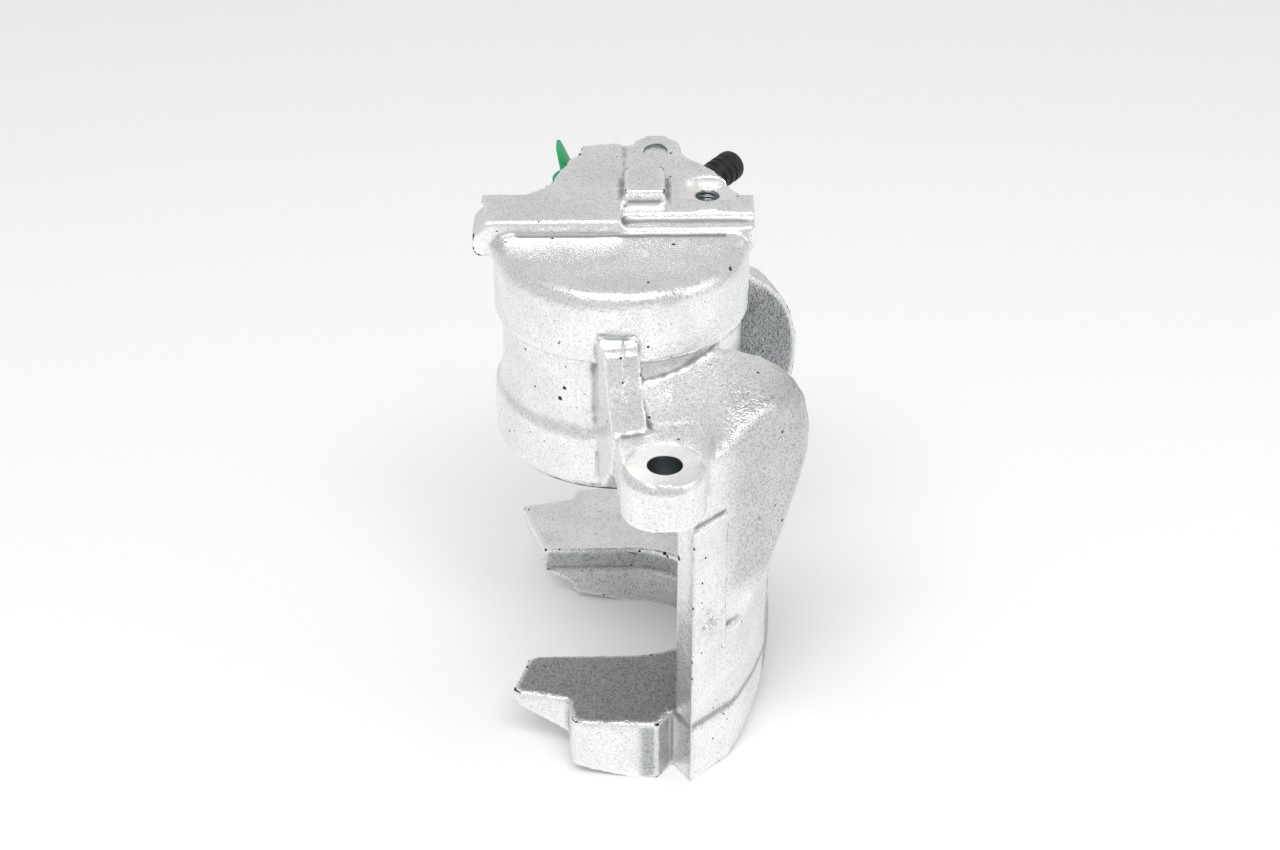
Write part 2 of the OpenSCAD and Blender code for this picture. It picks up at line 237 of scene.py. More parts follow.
def soften(piece, width, segments, angle):
    """Bevels the piece's sharp edges."""
    bevel = piece.modifiers.new("soften", "BEVEL")
    bevel.width = width * MM
    bevel.segments = segments
    bevel.limit_method = "ANGLE"
    bevel.angle_limit = math.radians(angle)
    settle(piece)


def dress(piece, body, slot, *finishes, replaces=(), sharp=35):
    """Gives the piece its finishes, shading and body; the slot is not used."""
    piece.data.materials.clear()
    for finish in finishes:
        piece.data.materials.append(finish)
    piece.data.shade_smooth()
    piece.data.set_sharp_from_angle(angle=math.radians(sharp))
    if body:
        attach(piece, body)
    if replaces:
        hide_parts(*replaces)
    return piece


def points_of(mesh):
    """A mesh's points as an array, in millimetres."""
    flat = np.empty(len(mesh.vertices) * 3, np.float32)
    mesh.vertices.foreach_get("co", flat)
    return flat.reshape(-1, 3).astype(float) / MM


def move_points(mesh, points):
    """Puts a mesh's points at places given in millimetres."""
    mesh.vertices.foreach_set("co", (points * MM).astype(np.float32).ravel())
    mesh.update()


def normals_of(mesh):
    """A mesh's normals at its points, as an array."""
    flat = np.empty(len(mesh.vertices) * 3, np.float32)
    mesh.vertex_normals.foreach_get("vector", flat)
    return flat.reshape(-1, 3)


def grain(points, size, shift=0.0):
    """Smooth noise from -1 to 1 at each point, with lumps of about that size in millimetres."""
    return np.array([noise.noise(p) for p in (points / size + shift).tolist()])


def ramp(values, low, high):
    """Smooth step from 0 at low to 1 at high."""
    t = np.clip((values - low) / (high - low), 0, 1)
    return t * t * (3 - 2 * t)


# ---------------------------------------------------------------- finishes

class Sock:
    """A socket of a material's nodes, so that sums of shader values read as plain maths."""

    def __init__(self, tree, socket):
        self.tree = tree
        self.socket = socket

    def maths(self, operation, *values):
        node = self.tree.nodes.new("ShaderNodeMath")
        node.operation = operation
        for place, value in zip(node.inputs, values):
            feed(self.tree, place, value)
        return Sock(self.tree, node.outputs[0])

    def twin(self, name):
        """Another output of the same node."""
        return Sock(self.tree, self.socket.node.outputs[name])

    def __add__(self, other):
        return self.maths("ADD", self, other)

    def __radd__(self, other):
        return self.maths("ADD", other, self)

    def __sub__(self, other):
        return self.maths("SUBTRACT", self, other)

    def __rsub__(self, other):
        return self.maths("SUBTRACT", other, self)

    def __mul__(self, other):
        return self.maths("MULTIPLY", self, other)

    def __rmul__(self, other):
        return self.maths("MULTIPLY", other, self)

    def __truediv__(self, other):
        return self.maths("DIVIDE", self, other)


def feed(tree, place, value):
    """Sets an input socket, or links it when the value is another socket."""
    if isinstance(value, Sock):
        tree.links.new(value.socket, place)
    elif hasattr(place.default_value, "__len__") and not hasattr(value, "__len__"):
        place.default_value = [value] * len(place.default_value)
    elif hasattr(place.default_value, "__len__") and len(place.default_value) == 4:
        place.default_value = (*value[:3], 1.0)
    else:
        place.default_value = value


class Finish:
    """A material with one Principled shader, and what its maker needs to vary it over a surface."""

    def __init__(self, name, **fixed):
        self.material = bpy.data.materials.new(name)
        self.material.use_nodes = True
        self.tree = self.material.node_tree
        self.shader = self.tree.nodes["Principled BSDF"]
        self.where = self.node("TexCoord", {}, {}, "Object")
        for name, value in fixed.items():
            self.set(name.replace("_", " ").title().replace("Ior", "IOR"), value)

    def set(self, socket, value):
        feed(self.tree, self.shader.inputs[socket], value)

    def node(self, kind, settings, sockets, out=0):
        """A node of that type: its settings first, then its sockets' values or links."""
        made = self.tree.nodes.new("ShaderNode" + kind)
        for key, value in settings.items():
            setattr(made, key, value)
        for key, value in sockets.items():
            feed(self.tree, made.inputs[key], value)
        return Sock(self.tree, made.outputs[out])

    def noise(self, size, detail=2.0, roughness=0.5, where=None):
        """Noise from 0 to 1 whose lumps have about that size in millimetres."""
        sockets = {"Vector": where or self.where, "Scale": 1 / (size * MM), "Detail": detail,
                   "Roughness": roughness}
        return self.node("TexNoise", {}, sockets, "Fac")

    def step(self, value, low, high):
        """From 0 at low to 1 at high, smoothly."""
        sockets = {"Value": value, "From Min": low, "From Max": high, "To Min": 0.0, "To Max": 1.0}
        return self.node("MapRange", {"interpolation_type": "SMOOTHSTEP"}, sockets)

    def blend(self, share, first, second):
        """A colour between two."""
        mixed = self.tree.nodes.new("ShaderNodeMix")
        mixed.data_type = "RGBA"
        feed(self.tree, mixed.inputs[0], share)
        feed(self.tree, mixed.inputs[6], first)
        feed(self.tree, mixed.inputs[7], second)
        return Sock(self.tree, mixed.outputs[2])

    def bump(self, height, depth):
        """Relief of that depth in millimetres for a height from 0 to 1."""
        sockets = {"Height": height, "Distance": depth * MM, "Strength": 1.0}
        self.set("Normal", self.node("Bump", {}, sockets))

    def attribute(self, name):
        return self.node("Attribute", {"attribute_name": name}, {}, "Fac")

    def larger(self, first, second):
        return first.maths("MAXIMUM", first, second)

    def smaller(self, first, second):
        return first.maths("MINIMUM", first, second)


def specks(finish, size, radius, share):
    """Mask of small irregular spots: one in some of the cells of that size, in millimetres."""
    wobble = finish.node("VectorMath", {"operation": "MULTIPLY_ADD"}, {
        0: finish.node("TexNoise", {}, {"Vector": finish.where, "Scale": 1 / (0.7 * MM)}, "Color"),
        1: (0.5 * MM,) * 3, 2: finish.where})
    cells = finish.node("TexVoronoi", {}, {"Vector": wobble, "Scale": 1 / (size * MM)}, "Distance")
    draw = finish.node("SeparateColor", {}, {0: cells.twin("Color")})
    reach = finish.step(draw, 1 - share, 1.0) * (radius / size)
    return finish.step(reach - cells, 0.0, 0.15 * radius / size)


def scratches(finish):
    """Mask of a few short, thin marks."""
    narrow = finish.node("VectorMath", {"operation": "MULTIPLY"}, {0: finish.where, 1: (0.14, 1.0, 0.6)})
    thin = finish.step(finish.noise(0.75, 1.0, 0.4, narrow), 0.73, 0.77)
    return thin * finish.step(finish.noise(9, 1.0), 0.56, 0.62)


def cast_coat(settings):
    """Bright zinc and aluminium flake coat over a sand casting, chipped to the iron at corners and pits, with a
    painted highlight on the convex edges and painted shade in the hollows, in the bridge's window, on the near pad
    face and in the throat.
    """
    finish = Finish("cast_coat")
    flakes = finish.noise(0.7, 2.0, 0.65)
    skin = finish.noise(1.4, 3.0, 0.65)
    cloud = finish.noise(13, 3.0, 0.55)
    edge_wear_and_highlight = finish.attribute("edge")
    hollow = finish.attribute("hollow")
    sand_and_shade_mask = finish.attribute("coarse")
    chips = finish.step(finish.attribute("corner") + (finish.noise(1.2, 3.0, 0.7) - 0.5) * 1.6, 0.74, 0.8)
    pits = finish.larger(specks(finish, 4, 0.5, 0.55), specks(finish, 8, 0.8, 0.6))
    pits = finish.larger(pits, specks(finish, 17, 1.3, 0.55))
    nicks = specks(finish, 3, 0.9, 0.5) * finish.step(edge_wear_and_highlight, 0.3, 0.6)
    bare = finish.larger(finish.larger(pits, scratches(finish) * 0.8), finish.larger(chips, nicks))
    coat = finish.blend(finish.step(cloud, 0.3, 0.7), settings.coat_dark, settings.coat_light)
    # coarse sand and painted shade: the coat darkens in the coarse zones, as shade in the window, on the near pad
    # face and in the throat
    coat = finish.blend(sand_and_shade_mask * 0.75, coat, (0.26, 0.28, 0.29))
    coat = finish.blend(finish.step(flakes, 0.54, 0.36) * (sand_and_shade_mask * 0.4 + 0.22), coat, (0.13, 0.135, 0.14))
    coat = finish.blend(finish.step(skin, 0.46, 0.3) * (sand_and_shade_mask * 0.3 + 0.12), coat, (0.3, 0.32, 0.33))
    # painted shade: the coat darkens in the hollows and creases
    coat = finish.blend(hollow * 0.75, coat, (0.16, 0.17, 0.175))
    # painted highlight: the coat turns near white along the convex edges
    coat = finish.blend(edge_wear_and_highlight * 0.7, coat, (0.97, 0.97, 0.97))
    finish.set("Base Color", finish.blend(bare, coat, (0.03, 0.028, 0.026)))
    finish.set("Metallic", 0.98 - bare * 0.8)
    grainy = 0.18 + flakes * 0.16 + sand_and_shade_mask * 0.06 + hollow * 0.32 - edge_wear_and_highlight * 0.04
    finish.set("Roughness", finish.larger(grainy, bare * 0.75))
    relief = flakes * (sand_and_shade_mask * 1.5 + 0.45) + skin * (sand_and_shade_mask * 0.9 + 0.6) - bare * 0.5
    finish.bump(relief, settings.sand_depth / MM)
    return finish.material


def drilled_iron():
    """Walls of the drilled and tapped holes, oiled and not coated, in a dark colour that is partly painted shade
    inside the holes; it also gives the blank boss's recess wall a painted shadow.
    """
    finish = Finish("drilled_iron", metallic=0.9)
    cloud = finish.noise(3, 2.0)
    # oiled iron darkened further as painted shade inside the holes
    finish.set("Base Color", finish.blend(cloud, (0.12, 0.14, 0.145), (0.25, 0.28, 0.29)))
    finish.set("Roughness", 0.3 + cloud * 0.12)
    finish.bump(finish.noise(0.4), 0.015)
    return finish.material


def milled_coat(settings):
    """Turned and faced surfaces under the same coat, with the cutter's rings."""
    finish = Finish("milled_coat", metallic=0.9)
    x = finish.node("SeparateXYZ", {}, {0: finish.where}, "X")
    y = x.twin("Y")

    def reach(point, across):
        u, v = x - point[0] * MM, across - point[1] * MM
        total = u * u + v * v
        return total.maths("SQRT", total)

    distance = finish.smaller(reach(EAR, y.maths("ABSOLUTE", y)), reach(BRACKET, y))
    turns = distance / (0.32 * MM) * math.tau
    rings = turns.maths("SINE", turns)
    cloud = finish.noise(4, 2.0)
    finish.set("Base Color", finish.blend(cloud, settings.milled_dark, settings.milled_light))
    finish.set("Roughness", 0.24 + cloud * 0.1 + rings * 0.03)
    finish.bump(rings * 0.35 + finish.noise(0.6) * 0.6, 0.012)
    return finish.material


def turned_metal(name, tint, roughness, ring=0.25):
    """Turned, plated metal with fine rings along the piece's axis."""
    finish = Finish(name, metallic=1.0)
    cloud = finish.noise(5, 3.0)
    marks = finish.noise(ring, 2.0)
    stretched = finish.node("VectorMath", {"operation": "MULTIPLY"}, {0: finish.where, 1: (0.04, 0.04, 1.0)})
    lines = finish.noise(ring * 0.6, 2.0, 0.5, stretched)
    finish.set("Base Color", finish.blend(cloud, [c * 0.86 for c in tint], tint))
    finish.set("Roughness", roughness + cloud * 0.12 + marks * 0.05)
    finish.bump(lines + marks * 0.3, 0.01)
    return finish.material


def rubber(name, tint, roughness, dust):
    """Moulded rubber: a fine matt skin with a little dust."""
    finish = Finish(name, specular_ior_level=0.32)
    cloud = finish.noise(3.5, 3.0)
    fine = finish.noise(0.25, 2.0)
    finish.set("Base Color", finish.blend(finish.step(cloud, 0.35, 0.8) * dust, tint, (0.35, 0.34, 0.33)))
    finish.set("Roughness", roughness + fine * 0.12 + cloud * 0.08)
    finish.bump(fine, 0.02)
    return finish.material


def moulded_plastic(name, tint):
    """Soft polyethylene, a little uneven in colour and gloss."""
    finish = Finish(name, subsurface_weight=0.12, subsurface_scale=0.001)
    cloud = finish.noise(4, 3.0)
    fine = finish.noise(0.35, 2.0)
    finish.set("Base Color", finish.blend(cloud, [c * 0.8 for c in tint], tint))
    finish.set("Roughness", 0.36 + cloud * 0.12 + fine * 0.06)
    finish.bump(fine, 0.02)
    return finish.material


# ---------------------------------------------------------------- settings

class CastingSettings(bpy.types.PropertyGroup):
    skin_step: FloatProperty(
        name="Skin Step", description="Distance between the points of the cast skin",
        default=0.8 * MM, unit="LENGTH")
    skin_faces: IntProperty(
        name="Skin Faces", description="Most triangles that the cast skin keeps", default=170000)
    fillet_passes: IntProperty(
        name="Fillet Passes", description="Rounds of smoothing that make the cast fillets", default=3)
    wide_passes: IntProperty(
        name="Wide Passes", description="More rounds where the fillets are widest", default=26)
    wave_depth: FloatProperty(
        name="Wave Depth", description="Height of the unevenness of the casting's faces",
        default=0.16 * MM, unit="LENGTH")
    sand_depth: FloatProperty(
        name="Sand Depth", description="Height of the grain that the sand mould leaves",
        default=0.15 * MM, unit="LENGTH")
    flash_height: FloatProperty(
        name="Flash Height", description="Height of the parting line's flash on the cylinder",
        default=0.3 * MM, unit="LENGTH")
    coat_light: FloatVectorProperty(
        name="Coat, Light", description="Lighter colour of the flake coat", subtype="COLOR",
        default=(0.94, 0.945, 0.95))
    coat_dark: FloatVectorProperty(
        name="Coat, Dark", description="Darker colour of the flake coat", subtype="COLOR",
        default=(0.84, 0.845, 0.85))
    milled_light: FloatVectorProperty(
        name="Milled, Light", description="Lighter colour of the machined faces", subtype="COLOR",
        default=(0.93, 0.92, 0.9))
    milled_dark: FloatVectorProperty(
        name="Milled, Dark", description="Darker colour of the machined faces", subtype="COLOR",
        default=(0.86, 0.85, 0.83))


class PistonSettings(bpy.types.PropertyGroup):
    chamfer: FloatProperty(
        name="Chamfer", description="Broken edge at the piston's mouth", default=0.8 * MM, unit="LENGTH")
    plating: FloatVectorProperty(
        name="Plating", description="Colour of the plating", subtype="COLOR", default=(0.66, 0.66, 0.68))


class SealSettings(bpy.types.PropertyGroup):
    folds: IntProperty(name="Folds", description="Folds of the dust boot", default=4)
    wall: FloatProperty(
        name="Wall", description="Thickness of the dust boot's wall", default=0.34 * MM, unit="LENGTH")
    rubber_colour: FloatVectorProperty(
        name="Rubber", description="Colour of the seals and the boot", subtype="COLOR",
        default=(0.018, 0.018, 0.02))


class FittingSettings(bpy.types.PropertyGroup):
    cap_radius: FloatProperty(
        name="Cap Radius", description="Radius of the bleed screw's rubber cap",
        default=4.9 * MM, unit="LENGTH")
    cap_length: FloatProperty(
        name="Cap Length", description="Length of the rubber cap with its skirt",
        default=16.1 * MM, unit="LENGTH")
    tab_height: FloatProperty(
        name="Tab Height", description="Height of the plug's tab above its flange",
        default=10.8 * MM, unit="LENGTH")
    zinc: FloatVectorProperty(
        name="Zinc", description="Colour of the bleed screw's plating", subtype="COLOR",
        default=(0.62, 0.6, 0.5))
    plug_green: FloatVectorProperty(
        name="Plug", description="Colour of the transport plug", subtype="COLOR",
        default=(0.008, 0.36, 0.13))


class StudioSettings(bpy.types.PropertyGroup):
    camera_place: FloatVectorProperty(
        name="Camera", description="Where the camera stands", subtype="TRANSLATION",
        default=(-3.8 * MM, -569.3 * MM, 352.8 * MM))
    camera_drop: FloatProperty(
        name="Camera Drop", description="Angle that the camera looks down", subtype="ANGLE",
        default=math.radians(31.856))
    camera_turn: FloatProperty(
        name="Camera Turn", description="Angle that the camera looks to the right", subtype="ANGLE",
        default=math.radians(0.947))
    lens: FloatProperty(name="Lens", description="Focal length in millimetres", default=59.88)
    floor_colour: FloatVectorProperty(
        name="Floor", description="Colour of the floor", subtype="COLOR", default=(0.93, 0.93, 0.93))
    surround: FloatProperty(name="Surround", description="Brightness of the room around", default=0.7)
    key_power: FloatProperty(
        name="Key Light", description="Power of the key softbox in watts", default=8.5)
    side_power: FloatProperty(
        name="Side Light", description="Power of the side softbox in watts", default=0.9)


# ---------------------------------------------------------------- cast housing

def machined_cuts():
    """Each cylinder that a cutter clears: name, radius, low, high, place and broken edge."""
    ear_face_r, ear_hole_r = 10.9, 5
    cuts = [
        ("bore", BORE_R, -1, BORE_DEPTH, UPRIGHT, 0),
        ("seal_groove", BORE_R + 3.2, 15, 18.4, UPRIGHT, 0),
        ("boot_pocket", POCKET_R, -1, POCKET_DEPTH, UPRIGHT, 0),
        ("boot_groove", POCKET_R + 1.2, 3.4, 5.8, UPRIGHT, 0),
        ("bracket_face", 8.8, BRACKET.z, BRACKET.z + 15, aim((BRACKET.x, BRACKET.y, 0), (0, 0, 1)), 0),
        ("bleed_face", 8.6, BOSS_END, BOSS_END + 14, BLEED, 0),
        ("bleed_hole", SCREW_HOLE_R, 0, BOSS_END + 0.6, BLEED, 0.7),
        ("blank_face", BLANK_R, 0, 12, BLANK, 0),
        ("port_face", 5.8, 0, 20, PORT, 0),
        ("port_hole", 4.5, -12, 0.6, PORT, 0.5),
    ]
    for side in (-1, 1):
        stand = aim((EAR.x, side * EAR.y, 0), (0, 0, 1))
        cuts.append(("ear_face", ear_face_r, EAR.z - 0.01, EAR.z + 6, stand, 0))
        cuts.append(("ear_hole", ear_hole_r, EAR.z - 24, EAR.z + 0.35, stand, 0.5))
    return cuts


def allowances():
    """Metal that the raw casting holds where it is machined later: radius, low, high and place."""
    blocks = [(POCKET_R + 2.5, 0.4, BORE_DEPTH + 1, UPRIGHT),
              (8.2, BRACKET.z - 15, BRACKET.z - 0.3, aim((BRACKET.x, BRACKET.y, 0), (0, 0, 1))),
              (6.6, -3, BOSS_END - 0.2, BLEED), (6.4, -13, 0.3, PORT), (BLANK_R + 1, -3, 0.7, BLANK)]
    for side in (-1, 1):
        blocks.append((8, EAR.z - 15.2, EAR.z + 0.3, aim((EAR.x, side * EAR.y, 0), (0, 0, 1))))
    return blocks


def raw_casting(settings):
    """The casting before machining: one closed skin with cast fillets."""
    mesh = frame["nodes"]["caliper_housing"].data.copy()
    casting = new_piece("cast_housing", mesh)
    shape = bmesh.new()
    shape.from_mesh(mesh)
    bmesh.ops.remove_doubles(shape, verts=shape.verts, dist=1e-6)
    for radius, low, high, place in allowances():
        block = drum("allowance", radius, low, high, place)
        shape.from_mesh(block.data)
        bpy.data.objects.remove(block)
    shape.to_mesh(mesh)
    shape.free()
    skin = casting.modifiers.new("skin", "REMESH")
    skin.mode = "VOXEL"
    skin.voxel_size = settings.skin_step
    fillets = casting.modifiers.new("fillets", "SMOOTH")
    fillets.factor = 0.5
    fillets.iterations = settings.fillet_passes
    settle(casting)
    return casting


def neighbour_mean(values, edges, count, total):
    """Mean of each point's neighbours' values."""
    near, far = edges.T
    summed = [np.bincount(near, v[far], total) + np.bincount(far, v[near], total) for v in values.T]
    return np.stack(summed, 1) / count[:, None]


def facet_place(p):
    """Each point's place on the slanted face below the nearer ear: outwards from its tip, and off it."""
    x, y, _ = p.T
    tip_x, tip_y, turn = 20, 68, math.atan2(10.4, 11)
    run, rise = x - tip_x, tip_y - abs(y)
    return run * math.cos(turn) + rise * math.sin(turn), rise * math.cos(turn) - run * math.sin(turn)


def coarse_and_shaded_zones(p):
    """How coarse the sand left each point: strongest in the bridge's window and on the pad faces. The coat's
    colour also takes it as painted shade in the window, on the near pad face and in the throat.
    """
    x, y, z = p.T
    along, off = facet_place(p)
    hump = ramp(x, 26, 36) * (1 - ramp(z, 30, 40)) * ramp(z, -34, -20)
    window = ramp(x, 30, 36) * (1 - ramp(abs(y), 26, 30)) * (1 - ramp(z, 30, 40))
    strip = (1 - ramp(along, -0.5, 0.8)) * (1 - ramp(off, 11, 13)) * (1 - ramp(z, 2, 12))
    pads = (1 - ramp(abs(z - FINGER_FACE_Z), 0.5, 2)) * ramp(-y, 10, 24)
    reach = np.hypot(np.maximum(x - THROAT_CENTRE[0], 0), y - THROAT_CENTRE[1])
    gap = (1 - ramp(reach, THROAT_R - 1, THROAT_R + 1)) * (1 - ramp(z, -70, -68))
    gap *= 0.5 + 0.5 * ramp(z, -77, -75)
    return np.max([0.5 * hump, 0.9 * window, 0.8 * strip, 0.9 * pads, 0.8 * gap], 0)


def relief(p, settings):
    """How far each point stands out of the plain casting, in millimetres."""
    x, y, z = p.T
    depth = settings.wave_depth / MM
    coarse = coarse_and_shaded_zones(p)
    lift = grain(p, 7.5) * depth + grain(p, 2.6, 31.0) * depth * 0.5
    lift += grain(p, 1.9, 77.0) * depth * (0.2 + 0.6 * coarse)
    front = 1 - ramp(y, -22, -12)
    barrel = front * ramp(z, 1, 4) * (1 - ramp(z, 60, 64)) * ramp(y, -44, -40)
    flash = settings.flash_height / MM
    wander = x - grain(p * (0, 0, 1), 9) * 0.25
    lift += barrel * flash * (np.exp(-(wander / 0.45) ** 2) + 0.7 * (1 - ramp(wander, -0.4, 0.4)))
    rib = ramp(z, 36, 42) * (1 - ramp(z, 54, 56)) * (1 - ramp(y, -42, -38))
    crack = x - 0.4 - grain(p * (0, 0, 1), 4, 5.0) * 0.8
    lift -= rib * 0.55 * np.exp(-(crack / 0.4) ** 2)
    # crease under the cylinder's upper band
    crease = (1 - ramp(x, 4, 10)) * (np.hypot(x, y) < 40) * front
    lift -= crease * 0.5 * np.exp(-((z - 42.6 - grain(p * (1, 1, 0), 15) * 0.4) / 0.5) ** 2)
    # torn flash along the raised pad's edges, and crumbs of it at its lower corner
    along, off = facet_place(p)
    pad = (1 - ramp(off, 2.5, 4)) * ramp(z, -46, -42) * (1 - ramp(z, 4, 8)) * ramp(along, 1, 3)
    seam = along - 15 - grain(p * (0, 0, 1), 6, 12.0) * 0.7
    lift -= pad * 0.5 * np.exp(-(seam / 0.5) ** 2) * ramp(grain(p, 7, 3.0), -0.4, -0.1)
    corner = np.exp(-((along - 7) / 6) ** 2 - ((z + 31) / 6) ** 2)
    lift += pad * corner * 1.4 * np.maximum(0, 1 - abs(grain(p, 4.5, 55.0)) / 0.17)
    return lift


def wide_fillets(p):
    """How much more each point is smoothed: most on the hump, then the shoulder, low band and bar."""
    x, y, z = p.T
    near = 1 - ramp(y, -4, 0)
    barrel = near * (np.hypot(x, y) < 41)
    hump = ramp(x, 20, 30) * ramp(abs(y), 26.2, 29) * ramp(z, 8, 18)
    low_band = barrel * ramp(z, 13, 16) * (1 - ramp(z, 21, 24))
    shoulder = barrel * ramp(np.hypot(x, y), 30, 33) * ramp(z, 57, 60) * (1 - ramp(z, 67.5, 68.5))
    bar = ramp(z, 67.5, 69) * (1 - ramp(y, 4, 6))
    return np.max([hump, 0.45 * low_band, 0.7 * shoulder, 0.12 * bar], 0)


def mark_skin(mesh, p, edges, count):
    """Stores where the skin is a convex edge, a corner, a hollow or coarse, for its finish, which paints a
    highlight on the edges and shade in the hollows and in the shaded coarse zones.
    """
    total = len(mesh.vertices)
    drift = ((neighbour_mean(p, edges, count, total) - p) * normals_of(mesh)).sum(1)[:, None]
    for _ in range(2):
        drift = 0.5 * drift + 0.5 * neighbour_mean(drift, edges, count, total)
    bend = -drift[:, 0]
    layers = {"edge": ramp(bend, 0.02, 0.06), "corner": ramp(bend, 0.075, 0.115),
              "hollow": ramp(-bend, 0.018, 0.055), "coarse": coarse_and_shaded_zones(p)}
    for name, values in layers.items():
        layer = mesh.attributes.new(name, "FLOAT", "POINT")
        layer.data.foreach_set("value", values.astype(np.float32))


def weather(casting, settings):
    """Widens the widest fillets, stores what the finish needs and gives the casting its relief."""
    mesh = casting.data
    total = len(mesh.vertices)
    edges = np.empty(len(mesh.edges) * 2, np.int64)
    mesh.edges.foreach_get("vertices", edges)
    edges = edges.reshape(-1, 2)
    count = np.bincount(edges.ravel(), minlength=total)
    p = points_of(mesh)
    share = 0.5 * wide_fillets(p)[:, None]
    for _ in range(settings.wide_passes):
        p += share * (neighbour_mean(p, edges, count, total) - p)
    move_points(mesh, p)
    mark_skin(mesh, p, edges, count)
    p += normals_of(mesh) * relief(p, settings)[:, None]
    p[:, 2] = np.maximum(p[:, 2], CAD_BOX[0].z / MM)
    move_points(mesh, p)
    thin = casting.modifiers.new("thin", "DECIMATE")
    mesh.calc_loop_triangles()
    thin.ratio = min(1.0, settings.skin_faces / len(mesh.loop_triangles))
    settle(casting)


def machine(casting):
    """Cuts the machined surfaces and marks each face as cast, milled or drilled; the blank boss's recess wall
    takes the drilled finish as a painted shadow.
    """
    cuts = machined_cuts()
    for name, radius, low, high, place, edge in cuts:
        combine(casting, drum(name, radius, low, high, place, edge))
    thread = aim((BRACKET.x, BRACKET.y, 0), (0, 0, 1))
    root, tip, pitch, depth = 3.4, 4.0, 1.25, 14
    screw_tap = threaded("bracket_thread", root, tip, pitch, BRACKET.z - depth, BRACKET.z + pitch, thread)
    combine(casting, screw_tap)
    combine(casting, drum("bracket_edge", root + 0.1, BRACKET.z - 1, BRACKET.z + 0.3, thread, 0.8))
    cuts.append(("bracket_hole", tip + 0.05, BRACKET.z - depth - 1, BRACKET.z - 0.4, thread, 0))
    mesh = casting.data
    centres = np.empty(len(mesh.polygons) * 3, np.float32)
    mesh.polygons.foreach_get("center", centres)
    centres = np.c_[centres.reshape(-1, 3) / MM, np.ones(len(mesh.polygons))]
    finish = np.zeros(len(centres), np.int32)
    slack = 0.03
    for name, radius, low, high, place, edge in cuts:
        local = centres @ np.array(place.inverted()).T
        inside = np.hypot(local[:, 0], local[:, 1]) < radius + edge + slack
        inside &= (local[:, 2] > low - slack) & (local[:, 2] < high + slack)
        # painted shadow: the blank recess's wall, not its floor, takes the dark hole finish
        if name == "blank_face":
            inside &= local[:, 2] > low + slack
        finish[inside] = 2 if name.endswith("hole") or name == "blank_face" else 1
    mesh.polygons.foreach_set("material_index", finish)


def build_housing(context):
    settings = context.scene.caliper_casting
    casting = raw_casting(settings)
    weather(casting, settings)
    machine(casting)
    marks = casting.data.attributes["material_index"].data
    kept = np.empty(len(casting.data.polygons), np.int32)
    marks.foreach_get("value", kept)
    dress(casting, "housing", "coated_iron", cast_coat(settings), milled_coat(settings), drilled_iron(),
          replaces=["caliper_housing"], sharp=42)
    casting.data.polygons.foreach_set("material_index", kept)


# ---------------------------------------------------------------- piston and seals

def build_piston(context):
    settings = context.scene.caliper_piston
    edge = settings.chamfer / MM
    hollow = 22.5
    low, high = (corner.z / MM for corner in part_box("piston"))
    floor = high - 7
    outline = rounded([
        (hollow, low, 0.6), (PISTON_R - edge, low), (PISTON_R, low + edge),
        (PISTON_R, 0.6, 0.2), (PISTON_R - 1.8, 0.6, 0.4), (PISTON_R - 1.8, 3, 0.4), (PISTON_R, 3, 0.2),
        (PISTON_R, high - 1.6, 0.8), (PISTON_R - 1.6, high, 0.8), (0, high), (0, floor),
        (hollow - 4, floor, 2.5), (hollow, floor - 4, 2.5), (hollow, 6, 0.3), (hollow - 0.5, 5.4, 0.3),
        (hollow - 0.5, 3.6, 0.3), (hollow, 3, 0.3)])
    piston = lathe("piston_cup", outline, segments=128)
    plating = turned_metal("plated_piston", settings.plating, 0.2, 0.3)
    dress(piston, "piston", "plated_steel", plating, replaces=["piston"])


def build_seals(context):
    settings = context.scene.caliper_seals
    black = rubber("seal_rubber", settings.rubber_colour, 0.42, 0.04)
    seal = lathe("piston_seal_ring", rounded([
        (BORE_R - 0.02, 15.2, 0.3), (BORE_R + 3, 15.2, 0.5), (BORE_R + 3, 18.2, 0.5),
        (BORE_R - 0.02, 18.2, 0.3)]))
    dress(seal, "housing", "seal_rubber", black, replaces=["piston_seal"])
    washer = lathe("port_washer", rounded([
        (4.65, 0.08, 0.2), (5.5, 0.08, 0.3), (5.5, 1.07, 0.3), (4.65, 1.07, 0.2)]), PORT)
    dress(washer, "housing", "seal_rubber", black, replaces=["port_plug_washer"])
    build_ring()


def build_ring():
    """Sprung wire ring with a gap between its rounded ends."""
    wire, turns, around = 0.88, 120, 14
    reach = math.radians(352)
    points = []
    for i in range(turns + 1):
        angle = reach * i / turns
        taper = min(1.0, math.sqrt(min(i, turns - i) / 1.5) + 0.25)
        for k in range(around):
            side = math.tau * k / around
            radius = 33.6 + wire * taper * math.cos(side)
            points.append((radius * math.cos(angle), radius * math.sin(angle),
                           4.6 + wire * taper * math.sin(side)))
    faces = [tuple(range(around)), tuple(range(turns * around, (turns + 1) * around))]
    for i in range(turns):
        for k in range(around):
            a, b = i * around + k, i * around + (k + 1) % around
            faces.append((a, b, b + around, a + around))
    ring = new_piece("boot_ring", mesh_from("boot_ring", points, faces))
    steel = turned_metal("spring_steel", (0.55, 0.55, 0.56), 0.28)
    dress(ring, "housing", "spring_steel", steel, replaces=["boot_retaining_ring"])


